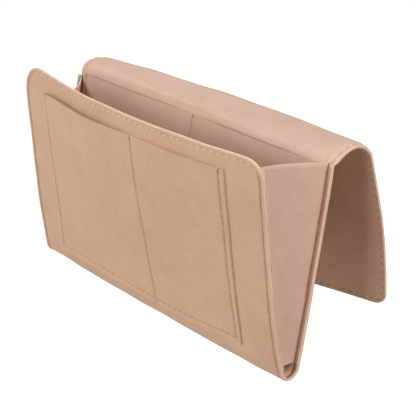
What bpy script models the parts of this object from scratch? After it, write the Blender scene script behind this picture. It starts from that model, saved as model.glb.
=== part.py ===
"""Felt caddy that hangs over a sofa arm or a bed rail.

One long strip of two felt layers, a shell and a lining, runs down the front,
round the bottom, up the back and over the arm, and ends in a flap that hangs
behind. Two folding gussets close the ends of the pouch, and a stitched pocket
panel lies on the front and another one inside. Felt that folds is divided at
its fold lines, so that each stretch can turn about a hinge line.

Frame: X runs along the caddy, +Y from the front to the flap, +Z up. The
origin is the inner corner of the fold that sits on the arm, at mid-width.
"""
import math

import bpy
from mathutils import Matrix, Vector

# Felt and seams, in metres
FELT = 0.0015
TOUCH = 0.0003
PROBE = 0.0001

# The strip
WIDTH = 0.320
BACK_LENGTH = 0.1642
BACK_LEAN = math.radians(12.1)
FOLD_RADIUS = 0.010
FOLD_FLAT_DEPTH = 0.0005
FRONT_LENGTH = 0.183
FRONT_LEAN_LEFT = math.radians(4.4)
FRONT_LEAN_RIGHT = math.radians(7.6)
FRONT_BOW = 0.0145
FRONT_CORNER_RADIUS = 0.016
RIDGE_RADIUS = 0.010
RIDGE_SETBACK_LEFT = 0.012
RIDGE_SETBACK_RIGHT = 0.025
RIDGE_DROP_LEFT = 0.001
RIDGE_DROP_RIGHT = 0.0045
RIDGE_BOW = 0.014
RIDGE_BOW_SKEW = 0.85
RIDGE_BOW_FULLNESS = 0.7
BRIDGE_LENGTH_LEFT = 0.0062
BRIDGE_LENGTH_RIGHT = 0.022
ARM_FOLD_WEDGE = math.radians(46.0)
FLAP_LENGTH_LEFT = 0.150
FLAP_LENGTH_RIGHT = 0.141
FLAP_LEAN_LEFT = math.radians(4.6)
FLAP_LEAN_MIDDLE = math.radians(1.8)
FLAP_LEAN_RIGHT = math.radians(12.4)
FLAP_BELLY = 0.005
FLAP_CORNER_RADIUS = 0.012
FLAP_MITRE = math.radians(18.0)

# The pockets, from the ends of the strip and from the fold lines
FRONT_POCKET_LEFT_MARGIN = 0.034
FRONT_POCKET_RIGHT_MARGIN = 0.039
FRONT_POCKET_BOTTOM_MARGIN = 0.009
FRONT_POCKET_TOP_MARGIN = 0.0205
FRONT_POCKET_SEAM_FROM_LEFT = 0.172
FRONT_POCKET_GAPE = 0.0032
INNER_POCKET_END_MARGIN = 0.012
INNER_POCKET_BOTTOM_MARGIN = 0.030
INNER_POCKET_TOP_MARGIN = 0.002
INNER_POCKET_SEAM_FROM_LEFT = 0.155
INNER_POCKET_GAPE = 0.003

# The gussets
GUSSET_INSET = 0.006
GUSSET_BOTTOM_RISE = 0.003
GUSSET_FRONT_DROP = 0.0115
GUSSET_BACK_DROP = 0.0015
GUSSET_PREFOLD_RIGHT = math.radians(12.0)
GUSSET_PREFOLD_LEFT = math.radians(28.0)
CREASE_GAP_TOP_RIGHT = 0.0019
CREASE_GAP_TOP_LEFT = 0.0012
CREASE_GAP_BOTTOM = 0.0006

# How finely the felt is faceted
COLUMNS = 16
ROWS = 6
CORNER_STEPS = 4
FOLD_STEPS = 5
BRIDGE_STEPS = 2
RIDGE_STEPS = 6
BEAD_STEPS = 4

LAYERS = 2 * FELT + TOUCH
HALF = WIDTH / 2


def share_along(x):
    """0 at the left end of the strip, 1 at the right end."""
    return (x + HALF) / WIDTH


def between(left, right, x):
    return left + (right - left) * share_along(x)


def turned(angle):
    """Unit vector in the YZ plane, angle counted from +Y towards +Z."""
    return Vector((0.0, math.cos(angle), math.sin(angle)))


# The back wall, the fold and the front's foot as plain lines and circles
BACK_DOWN = -turned(math.pi / 2 - BACK_LEAN)
BACK_INWARD = turned(math.pi - BACK_LEAN)
BACK_FOOT = BACK_DOWN * BACK_LENGTH
FOLD_CENTRE = BACK_FOOT + BACK_INWARD * FOLD_RADIUS
FRONT_LEAN_MIDDLE = (FRONT_LEAN_LEFT + FRONT_LEAN_RIGHT) / 2


def back_wall(x, run):
    """Shell face of the back wall, run metres below the arm fold, and the way in."""
    return Vector((x, 0.0, 0.0)) + BACK_DOWN * run, BACK_INWARD


def fold_at(x, angle):
    """Shell face of the bottom fold, and the way in."""
    outward = turned(angle)
    return Vector((x, 0.0, 0.0)) + FOLD_CENTRE + outward * FOLD_RADIUS, -outward


def fold_angles():
    """Stations round the fold, with one level facet where it stands or rubs."""
    level = math.acos(1 - FOLD_FLAT_DEPTH / FOLD_RADIUS)
    start = -BACK_LEAN
    end = -math.pi + FRONT_LEAN_MIDDLE
    low = -math.pi / 2
    rear = [start + (low + level - start) * i / FOLD_STEPS for i in range(FOLD_STEPS + 1)]
    front = [low - level + (end - low + level) * i / FOLD_STEPS for i in range(FOLD_STEPS + 1)]
    return rear + front


def front_line(x, run):
    """Shell face of the front panel, run metres above the bottom fold."""
    lean = between(FRONT_LEAN_LEFT, FRONT_LEAN_RIGHT, x)
    foot = FOLD_CENTRE + turned(math.pi + FRONT_LEAN_MIDDLE) * FOLD_RADIUS
    up = turned(math.pi / 2 + lean)
    bow = FRONT_BOW * math.sin(math.pi * share_along(x)) * math.sin(math.pi / 2 * run / FRONT_LENGTH)
    return Vector((x, 0.0, 0.0)) + foot + up * run + turned(math.pi + lean) * bow


def facing(line, x, run):
    """Unit vector square to a line's own run, a quarter turn clockwise seen from +X."""
    along = line(x, run + PROBE) - line(x, run - PROBE)
    along.normalize()
    return Vector((0.0, along.z, -along.y))


def front_panel(x, run):
    return front_line(x, run), facing(front_line, x, run)


def ridge_centre(x):
    """Centre of the ridge's bend, which bows out behind the line between its two ends."""
    skewed = share_along(x) ** RIDGE_BOW_SKEW
    bow = RIDGE_BOW * max(4 * skewed * (1 - skewed), 0.0) ** RIDGE_BOW_FULLNESS
    setback = between(RIDGE_SETBACK_LEFT, RIDGE_SETBACK_RIGHT, x) + bow
    return Vector((x, setback, -between(RIDGE_DROP_LEFT, RIDGE_DROP_RIGHT, x)))


def tangent(start, centre):
    """Slope and length of the line that runs from a point over the ridge's circle and touches it."""
    gap = centre - start
    reach = math.hypot(gap.y, gap.z)
    slope = math.atan2(gap.z, gap.y) + math.asin(RIDGE_RADIUS / reach)
    return slope, math.sqrt(reach ** 2 - RIDGE_RADIUS ** 2)


def bridge_end(x):
    """The straight line on the underside at which the bridge ends and the flap turns."""
    ends = []
    for end, length in ((-HALF, BRIDGE_LENGTH_LEFT), (HALF, BRIDGE_LENGTH_RIGHT)):
        corner = Vector((end, 0.0, 0.0))
        slope = tangent(corner, ridge_centre(end))[0]
        ends.append(corner + turned(slope) * length)
    return ends[0].lerp(ends[1], share_along(x))


def bridge(x, share):
    """Underside of the bridge, from the arm fold at 0 to its end at 1, and the way out."""
    end = bridge_end(x)
    return Vector((x, end.y * share, end.z * share)), turned(math.pi / 2 + math.atan2(end.z, end.y))


def flap_lean(x):
    """Lean of the flap: its right end flares most and its middle hangs straightest."""
    share = share_along(x)
    ends = FLAP_LEAN_LEFT * (1 - share) + FLAP_LEAN_RIGHT * share
    sag = 2 * FLAP_LEAN_MIDDLE - FLAP_LEAN_LEFT - FLAP_LEAN_RIGHT
    return ends + 2 * sag * share * (1 - share)


def flap_length(x):
    return between(FLAP_LENGTH_LEFT, FLAP_LENGTH_RIGHT, x)


def ridge_end_angle(x):
    """Angle on the ridge's circle at which the flap leaves it."""
    return flap_lean(x) + math.atan(math.pi * FLAP_BELLY / flap_length(x))


def flap_drop(x, run):
    """Inner face of the flap, run metres below the ridge."""
    top = ridge_centre(x) + turned(ridge_end_angle(x)) * RIDGE_RADIUS
    lean = flap_lean(x)
    belly = FLAP_BELLY * math.sin(math.pi * run / flap_length(x))
    return top + turned(lean - math.pi / 2) * run + turned(lean) * belly


def flap(x, station):
    """Inner face of the flap: 0 to 1 is the flat up to the ridge, 1 to 2 the ridge, 2 to 3 the drop."""
    slope, length = tangent(bridge_end(x), ridge_centre(x))
    start = math.pi / 2 + slope
    if station <= 1:
        return bridge_end(x) + turned(slope) * length * station, turned(start)
    if station <= 2:
        outward = turned(start + (ridge_end_angle(x) - start) * (station - 1))
        return ridge_centre(x) + outward * RIDGE_RADIUS, outward
    run = flap_length(x) * (station - 2)
    return flap_drop(x, run), facing(flap_drop, x, run) * -1


# Solids from those surfaces
def make_material(name, colour, roughness):
    material = bpy.data.materials.new(name)
    material.use_nodes = True
    shader = material.node_tree.nodes["Principled BSDF"]
    shader.inputs["Base Color"].default_value = (*colour, 1.0)
    shader.inputs["Roughness"].default_value = roughness
    shader.inputs["Metallic"].default_value = 0.0
    material.diffuse_color = (*colour, 1.0)
    return material


def make_object(name, corners, faces, material, axis):
    """A closed solid whose origin lies on the empty that it turns with."""
    home = axis.matrix_world.inverted() if axis else Matrix.Identity(4)
    mesh = bpy.data.meshes.new(name)
    mesh.from_pydata([home @ corner for corner in corners], [], faces)
    mesh.materials.append(material)
    mesh.shade_smooth()
    mesh.set_sharp_from_angle(angle=math.radians(30))
    solid = bpy.data.objects.new(name, mesh)
    bpy.context.collection.objects.link(solid)
    if axis:
        solid.parent = axis
    return solid


def make_axis(name, low, high, parent=None):
    """An empty on a hinge line, with its own X along the line."""
    along = (high - low).normalized()
    up = (Vector((0.0, 0.0, 1.0)) - along * along.z).normalized()
    if abs(along.z) > math.cos(math.radians(45)):
        up = (Vector((1.0, 0.0, 0.0)) - along * along.x).normalized()
    side = up.cross(along)
    frame = Matrix((along, side, up)).transposed().to_4x4()
    frame.translation = (low + high) / 2
    empty = bpy.data.objects.new(name, None)
    bpy.context.collection.objects.link(empty)
    empty.empty_display_size = FOLD_RADIUS
    if parent:
        empty.parent = parent
        empty.matrix_parent_inverse = parent.matrix_world.inverted()
    empty.matrix_world = frame
    bpy.context.view_layer.update()
    return empty


def felt_sheet(name, surface, columns, reach, low, high, material, axis):
    """Felt between two offsets of a surface.

    columns are the X stations, reach gives the runs of a column, and low and
    high give the offsets along the surface's own direction at a point.
    """
    lower, upper = [], []
    for x in columns:
        for run in reach(x):
            point, way = surface(x, run)
            lower.append(point + way * low(x, run))
            upper.append(point + way * high(x, run))
    rows = len(reach(columns[0]))
    count = len(lower)

    def at(i, j):
        return i * rows + j
    faces = []
    for i in range(len(columns) - 1):
        for j in range(rows - 1):
            near, far = (at(i, j), at(i + 1, j)), (at(i, j + 1), at(i + 1, j + 1))
            for tri in ((near[0], near[1], far[1]), (near[0], far[1], far[0])):
                faces.append(tri)
                faces.append(tuple(count + k for k in reversed(tri)))
    rim = [at(i, 0) for i in range(len(columns))]
    rim += [at(len(columns) - 1, j) for j in range(1, rows)]
    rim += [at(i, rows - 1) for i in range(len(columns) - 2, -1, -1)]
    rim += [at(0, j) for j in range(rows - 2, 0, -1)]
    for a, b in zip(rim, rim[1:] + rim[:1]):
        faces.append((b, a, count + a, count + b))
    solid = make_object(name, lower + upper, faces, material, axis)
    face_outward(solid)
    return solid


def face_outward(solid):
    """Turns every face over if the solid came out inside out."""
    mesh = solid.data
    volume = 0.0
    for polygon in mesh.polygons:
        first = mesh.vertices[polygon.vertices[0]].co
        for a, b in zip(polygon.vertices[1:-1], polygon.vertices[2:]):
            volume += first.dot(mesh.vertices[a].co.cross(mesh.vertices[b].co))
    if volume < 0:
        mesh.flip_normals()


def level(value):
    """A constant offset, for felt_sheet."""
    return lambda x, run: value


def even(low, high, steps):
    return [low + (high - low) * i / steps for i in range(steps + 1)]


def rounded_columns(radius):
    """X stations across the strip, closer together round its two corners."""
    quarter = [radius * (1 - math.cos(math.pi / 2 * i / CORNER_STEPS)) for i in range(CORNER_STEPS)]
    middle = even(-HALF + radius, HALF - radius, COLUMNS - 2)
    return [-HALF + q for q in quarter] + middle + [HALF - q for q in reversed(quarter)]


def corner_loss(x, radius):
    """How much a rounded corner shortens the column at x."""
    inset = min(HALF - abs(x), radius)
    return radius - math.sqrt(max(radius ** 2 - (radius - inset) ** 2, 0.0))


def build_strip(materials, axes):
    """Shell and lining of each stretch of the strip."""
    offsets = {"shell": (0.0, FELT), "lining": (FELT + TOUCH, LAYERS)}
    full = even(-HALF, HALF, COLUMNS)
    clear = TOUCH / 2

    def back_runs(x):
        return even(clear, BACK_LENGTH - clear, ROWS)

    def front_runs(x):
        return even(clear, FRONT_LENGTH - corner_loss(x, FRONT_CORNER_RADIUS), ROWS)

    def bridge_runs(x):
        gap_share = clear / bridge_end(x).yz.length
        return [0.0] + even(gap_share, 1 - gap_share, BRIDGE_STEPS)[1:]

    def bridge_mitred(x, share):
        """The edge by the back wall slopes away from it where the bridge is steep, so that the fold can open."""
        if share > 0:
            return bridge(x, share)
        end = bridge_end(x)
        slope = math.atan2(end.z, end.y)
        slant = math.tan(max(ARM_FOLD_WEDGE - (math.pi / 2 - BACK_LEAN - slope), 0.0))
        onward = turned(slope)
        return Vector((x, 0.0, 0.0)) + onward * clear, bridge(x, 0)[1] + onward * slant

    def flap_runs(x):
        lost_share = corner_loss(x, FLAP_CORNER_RADIUS) / flap_length(x)
        return [0.0] + even(1.0, 2.0, RIDGE_STEPS) + even(2.0, 3.0 - lost_share, ROWS)[1:]

    def flap_mitred(x, station):
        """The edge by the bridge slopes away from it, so that the flap can swing inward."""
        if station > 0:
            return flap(x, station)
        slant = math.tan(FLAP_MITRE)
        onward = turned(tangent(bridge_end(x), ridge_centre(x))[0])
        point = bridge_end(x) + onward * (clear + LAYERS * slant)
        return point, bridge(x, 1)[1] - onward * slant

    for layer, (low, high) in offsets.items():
        felt = materials[layer]
        felt_sheet("back_wall_" + layer, back_wall, full, back_runs, level(low), level(high), felt, None)
        felt_sheet("bottom_fold_" + layer, fold_at, full, lambda x: fold_angles(),
                   level(low), level(high), felt, None)
        felt_sheet("front_panel_" + layer, front_panel, rounded_columns(FRONT_CORNER_RADIUS),
                   front_runs, level(low), level(high), felt, axes["front"])
        felt_sheet("bridge_" + layer, bridge_mitred, full, bridge_runs, level(low), level(high), felt,
                   axes["bridge"])
        felt_sheet("flap_" + layer, flap_mitred, rounded_columns(FLAP_CORNER_RADIUS), flap_runs,
                   level(low), level(high), felt, axes["flap"])


def pocket_gape(x, rise_share, left, seam, right, gape):
    """How far a pocket stands off its panel: nothing at its seams, most at its mouth."""
    if x < seam:
        across = (x - left) / (seam - left)
    else:
        across = (x - seam) / (right - seam)
    return gape * math.sin(math.pi * across) * rise_share


def build_pockets(materials, axes):
    left = -HALF + FRONT_POCKET_LEFT_MARGIN
    right = HALF - FRONT_POCKET_RIGHT_MARGIN
    seam = -HALF + FRONT_POCKET_SEAM_FROM_LEFT
    bottom = FRONT_POCKET_BOTTOM_MARGIN
    top = FRONT_LENGTH - FRONT_POCKET_TOP_MARGIN

    def front_face(x, run):
        share = (run - bottom) / (top - bottom)
        return TOUCH + pocket_gape(x, share, left, seam, right, FRONT_POCKET_GAPE)

    columns = even(left, seam, COLUMNS // 2) + even(seam, right, COLUMNS // 2)[1:]
    felt_sheet("front_pocket_panel", front_panel, columns, lambda x: even(bottom, top, ROWS),
               lambda x, run: -front_face(x, run) - FELT, lambda x, run: -front_face(x, run),
               materials["pocket"], axes["front"])

    end = HALF - INNER_POCKET_END_MARGIN
    inner_seam = -HALF + INNER_POCKET_SEAM_FROM_LEFT
    inner_top = INNER_POCKET_TOP_MARGIN
    inner_bottom = BACK_LENGTH - INNER_POCKET_BOTTOM_MARGIN

    def inner_face(x, run):
        share = (inner_bottom - run) / (inner_bottom - inner_top)
        return LAYERS + TOUCH + pocket_gape(x, share, -end, inner_seam, end, INNER_POCKET_GAPE)

    columns = even(-end, inner_seam, COLUMNS // 2) + even(inner_seam, end, COLUMNS // 2)[1:]
    felt_sheet("inner_pocket_panel", back_wall, columns, lambda x: even(inner_top, inner_bottom, ROWS),
               inner_face, lambda x, run: inner_face(x, run) + FELT, materials["pocket"], None)


def gusset_frame(side):
    """Corners of a gusset in its own plane: seams on the two linings, before folding."""
    x = side * (HALF - GUSSET_INSET - FELT / 2)
    lift = LAYERS + TOUCH + FELT / 2

    def on(surface, run):
        point, way = surface(x, run)
        return point + way * lift
    front_low = on(front_panel, GUSSET_BOTTOM_RISE)
    front_high = on(front_panel, FRONT_LENGTH - GUSSET_FRONT_DROP)
    back_low = on(back_wall, BACK_LENGTH - GUSSET_BOTTOM_RISE)
    back_high = on(back_wall, GUSSET_BACK_DROP)
    for corner in (front_low, front_high):
        corner.x = x
    crease_low = (front_low + back_low) / 2
    crease_high = (front_high + back_high) / 2
    return {"front": (front_low, front_high), "back": (back_low, back_high),
            "crease": (crease_low, crease_high)}


def gusset_half(name, seam, crease, side, prefold, gap_top, material, axis):
    """One half of a gusset: a flat leaf with a round hinge edge, folded inward about its seam.

    Its other edge stops short of the crease, by more at the top, where the
    two halves pass closest while the front closes.
    """
    low, high = seam
    along = (high - low).normalized()
    inward = Vector((-side, 0.0, 0.0))

    def place(u, v, w):
        """u along the seam, v across the leaf, w through its thickness."""
        leaf = across * math.cos(prefold) + inward * math.sin(prefold)
        normal = inward * math.cos(prefold) - across * math.sin(prefold)
        return low + along * u + leaf * v + normal * w

    flat = crease[1] - low
    across = (flat - along * flat.dot(along)).normalized()
    sections = []
    ends = ((low, crease[0], CREASE_GAP_BOTTOM), (high, crease[1], gap_top))
    for seam_end, crease_end, gap in ends:
        u_seam = (seam_end - low).dot(along)
        u_crease = (crease_end - low).dot(along)
        v_crease = ((crease_end - low).dot(across) - gap) / math.cos(prefold)
        bead = [math.pi / 2 + math.pi * i / BEAD_STEPS for i in range(BEAD_STEPS + 1)]
        ring = [place(u_seam, FELT / 2 * math.cos(a), FELT / 2 * math.sin(a)) for a in bead]
        ring += [place(u_crease, v_crease, -FELT / 2), place(u_crease, v_crease, FELT / 2)]
        sections.append(ring)
    size = len(sections[0])
    faces = [tuple(range(size)), tuple(range(2 * size - 1, size - 1, -1))]
    for i in range(size):
        j = (i + 1) % size
        faces.append((i, size + i, size + j, j))
    solid = make_object(name, sections[0] + sections[1], faces, material, axis)
    face_outward(solid)
    return solid


def build_gussets(materials, axes):
    ends = (("right", 1, GUSSET_PREFOLD_RIGHT, CREASE_GAP_TOP_RIGHT),
            ("left", -1, GUSSET_PREFOLD_LEFT, CREASE_GAP_TOP_LEFT))
    for label, side, prefold, gap_top in ends:
        corners = gusset_frame(side)
        inner = HALF - GUSSET_INSET + TOUCH
        columns = sorted((side * inner, side * HALF))
        low, high = LAYERS + TOUCH, LAYERS + TOUCH + FELT
        for wall, parent in (("front", axes["front"]), ("back", None)):
            seam = corners[wall]
            hinge = make_axis(label + "_gusset_" + wall + "_axis", seam[0], seam[1], parent)
            gusset_half(label + "_gusset_" + wall + "_half", seam, corners["crease"], side, prefold,
                        gap_top, materials["gusset"], hinge)
        felt_sheet(label + "_gusset_front_flange", front_panel, columns,
                   lambda x: even(GUSSET_BOTTOM_RISE, FRONT_LENGTH - FRONT_CORNER_RADIUS, ROWS),
                   level(low), level(high), materials["gusset"], axes["front"])
        felt_sheet(label + "_gusset_back_flange", back_wall, columns,
                   lambda x: even(GUSSET_BACK_DROP, BACK_LENGTH - GUSSET_BOTTOM_RISE, ROWS),
                   level(low), level(high), materials["gusset"], None)


def clear_scene():
    for item in list(bpy.data.objects):
        bpy.data.objects.remove(item)


def main():
    clear_scene()
    materials = {
        "shell": make_material("felt_shell", (0.58, 0.37, 0.25), 0.95),
        "lining": make_material("felt_lining", (0.62, 0.42, 0.30), 0.95),
        "pocket": make_material("felt_pocket", (0.57, 0.37, 0.25), 0.95),
        "gusset": make_material("felt_gusset", (0.55, 0.36, 0.25), 0.95),
    }
    front_foot = [front_panel(x, 0.0) for x in (-HALF, HALF)]
    front_ends = [point + way * LAYERS for point, way in front_foot]
    bend_ends = [Vector((x, 0.0, 0.0)) for x in (-HALF, HALF)]
    flap_ends = [point + way * LAYERS for point, way in (bridge(x, 1) for x in (-HALF, HALF))]
    axes = {"front": make_axis("front_fold_axis", *front_ends),
            "bridge": make_axis("arm_fold_axis", *bend_ends)}
    axes["flap"] = make_axis("flap_ridge_axis", *flap_ends, axes["bridge"])
    build_strip(materials, axes)
    build_pockets(materials, axes)
    build_gussets(materials, axes)


main()
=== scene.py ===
"""Felt, seams, camera and light for the caddy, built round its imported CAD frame."""
import math

import bpy
import numpy as np
from mathutils import Matrix, Vector


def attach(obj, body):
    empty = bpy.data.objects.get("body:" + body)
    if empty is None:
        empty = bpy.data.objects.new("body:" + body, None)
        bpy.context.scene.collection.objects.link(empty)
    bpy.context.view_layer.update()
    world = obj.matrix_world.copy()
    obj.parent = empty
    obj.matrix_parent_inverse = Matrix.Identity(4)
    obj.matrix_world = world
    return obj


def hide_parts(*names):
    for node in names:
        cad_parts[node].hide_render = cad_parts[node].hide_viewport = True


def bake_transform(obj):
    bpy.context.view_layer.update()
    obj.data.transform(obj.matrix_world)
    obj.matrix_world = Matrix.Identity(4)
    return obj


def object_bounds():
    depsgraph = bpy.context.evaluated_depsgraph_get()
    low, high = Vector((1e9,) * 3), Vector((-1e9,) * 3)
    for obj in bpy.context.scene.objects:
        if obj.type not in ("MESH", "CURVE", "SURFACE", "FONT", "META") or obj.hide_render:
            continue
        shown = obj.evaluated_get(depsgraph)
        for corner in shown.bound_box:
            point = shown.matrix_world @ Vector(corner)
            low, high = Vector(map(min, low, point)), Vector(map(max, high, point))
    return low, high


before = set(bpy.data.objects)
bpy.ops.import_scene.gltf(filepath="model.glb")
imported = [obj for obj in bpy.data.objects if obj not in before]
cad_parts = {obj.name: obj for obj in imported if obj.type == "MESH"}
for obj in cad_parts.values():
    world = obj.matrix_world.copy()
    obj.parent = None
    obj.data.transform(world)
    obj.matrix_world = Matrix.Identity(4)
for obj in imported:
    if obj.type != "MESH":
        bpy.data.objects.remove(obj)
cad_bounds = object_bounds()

MM = 0.001

# Sizes shared with the CAD, in metres
FELT = 1.5 * MM
TOUCH = 0.3 * MM
WIDTH = 320 * MM
BACK_LENGTH = 164.2 * MM
BACK_LEAN = math.radians(12.1)
FOLD_RADIUS = 10 * MM
FRONT_LENGTH = 183 * MM
FRONT_LEAN_LEFT = math.radians(4.4)
FRONT_LEAN_RIGHT = math.radians(7.6)
FRONT_CORNER_RADIUS = 16 * MM
RIDGE_RADIUS = 10 * MM
RIDGE_SETBACK_LEFT = 12 * MM
RIDGE_SETBACK_RIGHT = 25 * MM
RIDGE_DROP_LEFT = 1 * MM
RIDGE_DROP_RIGHT = 4.5 * MM
RIDGE_BOW = 14 * MM
RIDGE_BOW_SKEW = 0.85
RIDGE_BOW_FULLNESS = 0.7
BRIDGE_LENGTH_LEFT = 6.2 * MM
BRIDGE_LENGTH_RIGHT = 22 * MM
FLAP_LENGTH_LEFT = 150 * MM
FLAP_LENGTH_RIGHT = 141 * MM
FLAP_LEAN_LEFT = math.radians(4.6)
FLAP_LEAN_MIDDLE = math.radians(1.8)
FLAP_LEAN_RIGHT = math.radians(12.4)
FLAP_BELLY = 5 * MM
FLAP_CORNER_RADIUS = 12 * MM
HALF = WIDTH / 2
LAYERS = 2 * FELT + TOUCH

# How the soft felt departs from the straight folds of the CAD
FRONT_BELLY_LEFT = 1.5 * MM
FRONT_BELLY_RIGHT = 3 * MM
FRONT_BOW = 11.1 * MM
FRONT_BOW_EASE = 0.83
FRONT_LEFT_DRAW = 1.4 * MM
FRONT_LEFT_POWER = 4
FRONT_DRAW_POWER = 3
FRONT_CORNER_LEFT = 28 * MM
FOOT_SWELL = 2.2 * MM
FOOT_SWELL_HEIGHT = 9 * MM
FOOT_SWELL_REACH = 50 * MM
FOOT_SWELL_END = 30 * MM
FOOT_SHIFT_RIGHT = 2.2 * MM
BOTTOM_SAG = 2.1 * MM
BOTTOM_SAG_REACH = 90 * MM
ARM_SHIFT_LEFT = -2.5 * MM
ARM_SHIFT_RIGHT = -3 * MM
ARM_BOW = 8 * MM
ARM_BOW_POWER = 1.3
BEND_RISE_LEFT = 9 * MM
BEND_RISE_POWER = 2
BEND_RADIUS_LEFT = 8.8 * MM
BEND_RADIUS_RIGHT = 0.6 * MM
BEND_RADIUS_POWER = 6
RIDGE_SHIFT_RIGHT = 2.2 * MM
RIDGE_SAG = 0.8 * MM
RIDGE_LIFT_LEFT = 1.4 * MM
RIDGE_LIFT_POWER = 8
RIDGE_SINK_RIGHT = 2 * MM
RIDGE_SINK_POWER = 3
ARCH_RIGHT = 5.2 * MM
ARCH_SPAN = 33 * MM
ARCH_POWER = 6
FLAP_STRETCH = 1 * MM
WAVE_HEIGHT = 0.35 * MM

# Pairs of waves that make the felt uneven: share of the height, then radians per metre and start of each
WAVES = ((1, ((61, 0, 23), 1.3), ((-18, 0, 47), 0.4)), (0.6, ((97, 0, -55), 2.1), ((31, 40, 83), 0)))

# Seams
STITCH_INSET = 3.8 * MM
STITCH_PITCH = 7.2 * MM
STITCH_LENGTH = 5.2 * MM
THREAD_RADIUS = 0.45 * MM
GROOVE_DEPTH = 0.6 * MM
GROOVE_WIDTH = 1.1 * MM
GROOVE_LIGHT_SHARE = 0.4
MARGIN_PRESS = 0.55 * MM
MARGIN_PUFF = 0.3 * MM
EDGE_ROUND = 0.35 * MM
# Width of the highlight painted on cut edges
PAINTED_EDGE_WIDTH = 0.8 * MM
# Width of the shade painted inside a pocket's mouth
MOUTH_SHADE = 0.9 * MM
LAYER_GAP = 0.1 * MM
BARTACK_LENGTH = 4.5 * MM
BARTACK_GAP = 0.8 * MM
BARTACK_DROP = 1.6 * MM
BARTACK_SINK = 0.3 * MM
BARTACK_STITCHES = 3
BARTACK_STEPS = 9
SEAM_OVERLAP = 2 * MM
SEAM_END = 1 * MM

# Form of a stitch in radii of its thread, and how sunk seams are: 0 proud and light, 1 deep and dark, with
# painted shade on the furrow and the thread
STITCH_RINGS = 7
STITCH_SIDES = 8
STITCH_ARCH = 1.5
STITCH_SINK = 1.1
STITCH_END_SHARE = 0.55
SIDE_SUNK = 0.9
SOFT_SIDE_SUNK = 0.35
SOFT_END_SUNK = 0.3
BARTACK_SUNK = 0.6
# Sunkenness from which stitches take thread colours darkened with painted shade: the darkest above the
# first, the half shade above the second
PAINTED_SHADE_THREAD_FROM = 0.5
POCKET_THREAD_FROM = 0.2

# Pockets
FRONT_POCKET_LEFT = -HALF + 34 * MM
FRONT_POCKET_RIGHT = HALF - 39.5 * MM
FRONT_POCKET_SEAM = -HALF + 175.5 * MM
FRONT_POCKET_BOTTOM = 11.5 * MM
FRONT_POCKET_TOP = FRONT_LENGTH - 15.2 * MM
FRONT_POCKET_SHIFT = 1.5 * MM
FRONT_POCKET_DIP_LEFT = 4 * MM
FRONT_POCKET_DIP_SHARE = 0.16
FRONT_POCKET_LIFT_RIGHT = 6 * MM
FRONT_POCKET_LIFT_POWER = 1.4
POCKET_INSET = 4.6 * MM
POCKET_GROOVE = 0.8 * MM
POCKET_SINK = 0.7 * TOUCH
# How sunk the pocket's panel seams and threads are, which sets how much shade is painted on them
POCKET_SUNK_LEFT = 0.1
POCKET_SUNK_RIGHT = 0.8
POCKET_THREAD_SUNK = 0.3
MOUTH_SKEW = 0.8
MOUTH_POWER = 1.5
FRONT_GAPE_SHARES = (1, 0.2)
POCKET_GAPE = 3 * MM
INNER_POCKET_LEFT = -HALF + 7 * MM
INNER_POCKET_RIGHT = HALF - 12 * MM
INNER_POCKET_SEAM = -HALF + 156 * MM
INNER_POCKET_LOW = 30 * MM
INNER_POCKET_TOP = BACK_LENGTH - 0.8 * MM
INNER_POCKET_LIFT_LEFT = 3.5 * MM
INNER_POCKET_DIP = 2.5 * MM

# Gussets
GUSSET_INSET = 4.8 * MM
GUSSET_INSET_BACK_RIGHT = 4 * MM
GUSSET_LOW = 4 * MM
GUSSET_FRONT_DROP_RIGHT = 6 * MM
GUSSET_FRONT_DROP_LEFT = 11.5 * MM
GUSSET_BACK_DROP_RIGHT = 0.2 * MM
GUSSET_BACK_DROP_LEFT = 1.5 * MM
GUSSET_OVERHANG_LEFT = 3.4 * MM
GUSSET_DIP_LEFT = 11 * MM
GUSSET_DEPTH_RIGHT = math.tan(math.radians(6))
GUSSET_DEPTH_LEFT = math.tan(math.radians(28))
GUSSET_DIP_POWER = 3
GUSSET_TURN = 2.2 * MM
GUSSET_LEAST_MARGIN = 0.3 * MM
GUSSET_ROW_GAP = 0.2 * MM

# Distances from a felt edge at which the mesh has rows, closest at the edge and at the seam
EDGE_OFFSETS = MM * np.array([0, .15, .35, .6, 1, 1.7, 2.5, 3.2, 3.9, 4.5, 5, 5.5, 6.1, 6.8, 7.6, 8.6,
                              10, 12, 14])
SEAM_OFFSETS = np.linspace(-3, 3, 13) * GROOVE_WIDTH
LEAST_STEP = 0.1 * MM

# Counts of rows and steps
ACROSS_STEPS = 64
FRONT_ROWS = (34, 14, 12)
WALL_ROWS = (16, 18)
FLAP_ROWS = (8, 18, 26)
POCKET_COLUMNS = 52
POCKET_ROWS = 40
POCKET_SEAM_STEPS = 100
GUSSET_ROWS = 60
GUSSET_TURN_ROWS = 9
GUSSET_WEB_ROWS = 24
CORNER_STEPS = 16
SIDE_STEPS = 90
LONG_SIDE_STEPS = 120
WALL_SPLIT = 0.5 * BACK_LENGTH
SHARP_ANGLE = math.radians(50)

# Short steps for slopes, and the least length to divide by
PROBE = 0.05 * MM
SHORT_STEP = 1 * MM
TINY = 1e-12


# Shape of the strip
def share(x):
    return (x + HALF) / WIDTH


def mixed(left, right, x):
    return left + (right - left) * share(x)


def yz(y, z):
    return np.stack([np.zeros_like(y), y, z], axis=-1)


def turned(angle):
    """Unit vector in the YZ plane, angle counted from +Y towards +Z."""
    return yz(np.cos(angle), np.sin(angle))


def scaled(vectors, amount):
    return vectors * np.asarray(amount)[..., None]


def unit(vectors):
    return vectors / np.clip(np.linalg.norm(vectors, axis=-1, keepdims=True), TINY, None)


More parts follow.
